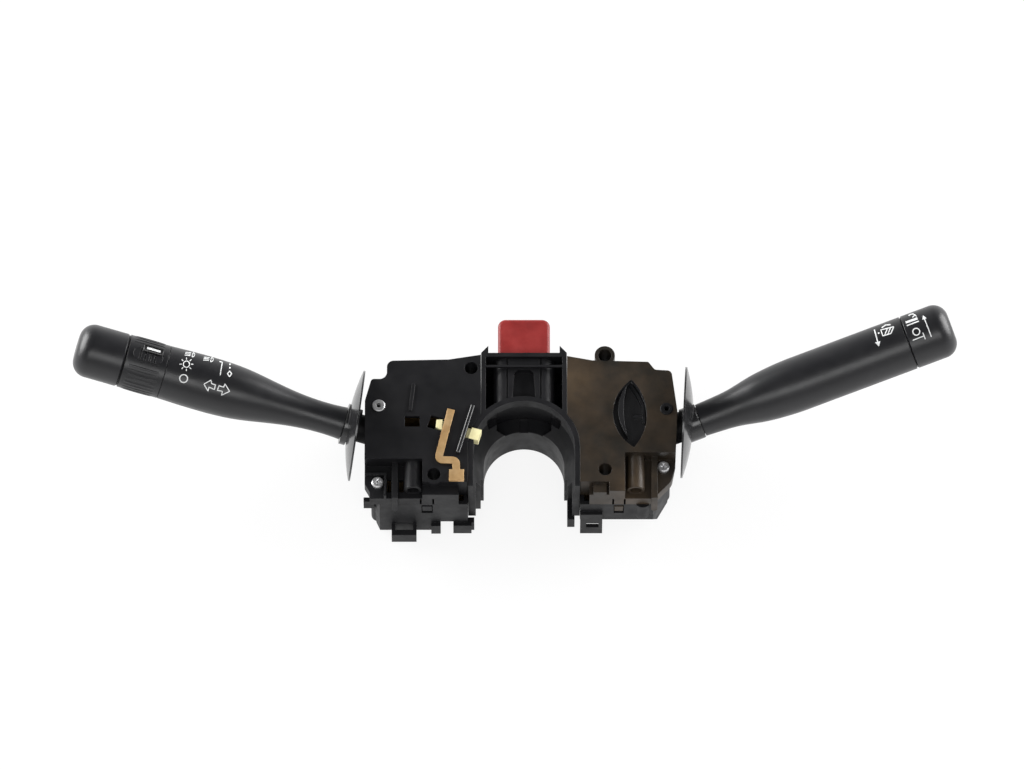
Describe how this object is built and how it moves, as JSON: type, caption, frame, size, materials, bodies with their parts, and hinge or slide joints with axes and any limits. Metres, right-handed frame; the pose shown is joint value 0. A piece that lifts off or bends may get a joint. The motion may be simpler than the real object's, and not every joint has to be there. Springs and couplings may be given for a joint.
{
  "type": "combination stalk switch",
  "caption": "Steering column combination switch: lighting stalk, wiper stalk, hazard button and a saddle that clamps over the column.",
  "frame": {"origin": "steering column axis at the back face of the saddle", "axes": "+Z along the column towards the driver, +X towards the wiper stalk, +Y towards the hazard button"},
  "size_m": [0.3834, 0.0911, 0.0636],
  "materials": {
    "black_moulding": "satin",
    "brown_black_moulding": "satin",
    "stalk_plastic": "satin",
    "shield_plastic": "satin",
    "button_red": "satin",
    "ivory_nylon": "satin",
    "brass": "satin",
    "steel": "satin",
    "board": "satin"
  },
  "bodies": {
    "housing": {"column_saddle": "black_moulding", "left_front_cover": "black_moulding", "right_front_cover": "brown_black_moulding", "left_rear_housing": "black_moulding", "right_rear_housing": "black_moulding", "left_contact_board": "board", "right_contact_board": "board", "left_contact_tracks": "brass", "right_contact_tracks": "brass", "left_detent_cam": "ivory_nylon", "right_detent_cam": "ivory_nylon", "left_terminals": "brass", "right_terminals": "brass", "left_cover_screw": "steel", "right_cover_screw": "steel", "left_rivet": "steel", "right_rivet": "black_moulding", "hazard_body": "black_moulding", "hazard_contacts": "brass", "hazard_spring": "steel", "guide_bar": "shield_plastic", "horn_contact": "brass"},
    "left_turn": {"left_yoke": "ivory_nylon", "left_cross_pin": "steel", "left_contact_carrier": "ivory_nylon", "left_contact_leaves": "brass"},
    "left_stalk": {"left_core_rod": "black_moulding", "left_handle": "stalk_plastic", "left_collar": "black_moulding", "left_dust_shield": "shield_plastic", "left_end_cap": "stalk_plastic", "left_detent_spring": "steel"},
    "left_plunger": {"left_detent_plunger": "steel"},
    "light_ring_body": {"light_ring": "stalk_plastic"},
    "right_turn": {"right_yoke": "ivory_nylon", "right_cross_pin": "steel", "right_contact_carrier": "ivory_nylon", "right_contact_leaves": "brass"},
    "right_stalk": {"right_core_rod": "black_moulding", "right_handle": "stalk_plastic", "right_collar": "black_moulding", "right_dust_shield": "shield_plastic", "right_detent_spring": "steel"},
    "right_plunger": {"right_detent_plunger": "steel"},
    "right_cap_body": {"right_end_cap": "stalk_plastic"},
    "hazard_key": {"hazard_button": "button_red", "hazard_contact_bridge": "brass"},
    "pawl": {"cancel_pawl": "ivory_nylon"}
  },
  "joints": [
    {"name": "left_stalk_turn", "type": "hinge", "parent": "housing", "child": "left_turn", "pos_m": [-0.05743, 0.01138, 0.02599], "axis": [0, 0, 1], "range_deg": [-7, 7]},
    {"name": "left_stalk_pull", "type": "hinge", "parent": "left_turn", "child": "left_stalk", "pos_m": [-0.05743, 0.01138, 0.02599], "axis": [0.2186, 0.9758, 0], "range_deg": [0, 5]},
    {"name": "left_plunger_travel", "type": "slide", "parent": "left_stalk", "child": "left_plunger", "axis": [-0.9577, 0.2145, 0.1915], "range_m": [0, 0.0012], "stiffness_N_per_m": 200, "deforming": ["left_detent_spring"]},
    {"name": "light_ring_turn", "type": "hinge", "parent": "left_stalk", "child": "light_ring_body", "pos_m": [-0.1647, 0.03541, 0.04744], "axis": [-0.9577, 0.2145, 0.1915], "range_deg": [-30, 60]},
    {"name": "right_stalk_wipe", "type": "hinge", "parent": "housing", "child": "right_turn", "pos_m": [0.05416, 0.01025, 0.02587], "axis": [0, 0, 1], "range_deg": [-5, 15]},
    {"name": "right_stalk_wash", "type": "hinge", "parent": "right_turn", "child": "right_stalk", "pos_m": [0.05416, 0.01025, 0.02587], "axis": [0.3048, -0.9524, 0], "range_deg": [0, 5]},
    {"name": "right_plunger_travel", "type": "slide", "parent": "right_stalk", "child": "right_plunger", "axis": [0.9356, 0.2994, 0.1871], "range_m": [0, 0.0012], "stiffness_N_per_m": 200, "deforming": ["right_detent_spring"]},
    {"name": "right_cap_turn", "type": "hinge", "parent": "right_stalk", "child": "right_cap_body", "pos_m": [0.17597, 0.04924, 0.05023], "axis": [0.9356, 0.2994, 0.1871], "range_deg": [-20, 40]},
    {"name": "hazard_push", "type": "slide", "parent": "housing", "child": "hazard_key", "axis": [0, -1, 0], "range_m": [0, 0.004], "stiffness_N_per_m": 300, "deforming": ["hazard_spring"]},
    {"name": "cancel_pawl_slide", "type": "slide", "parent": "housing", "child": "pawl", "axis": [0.9564, -0.2919, 0], "range_m": [-0.0025, 0.001], "stiffness_N_per_m": 100}
  ]
}
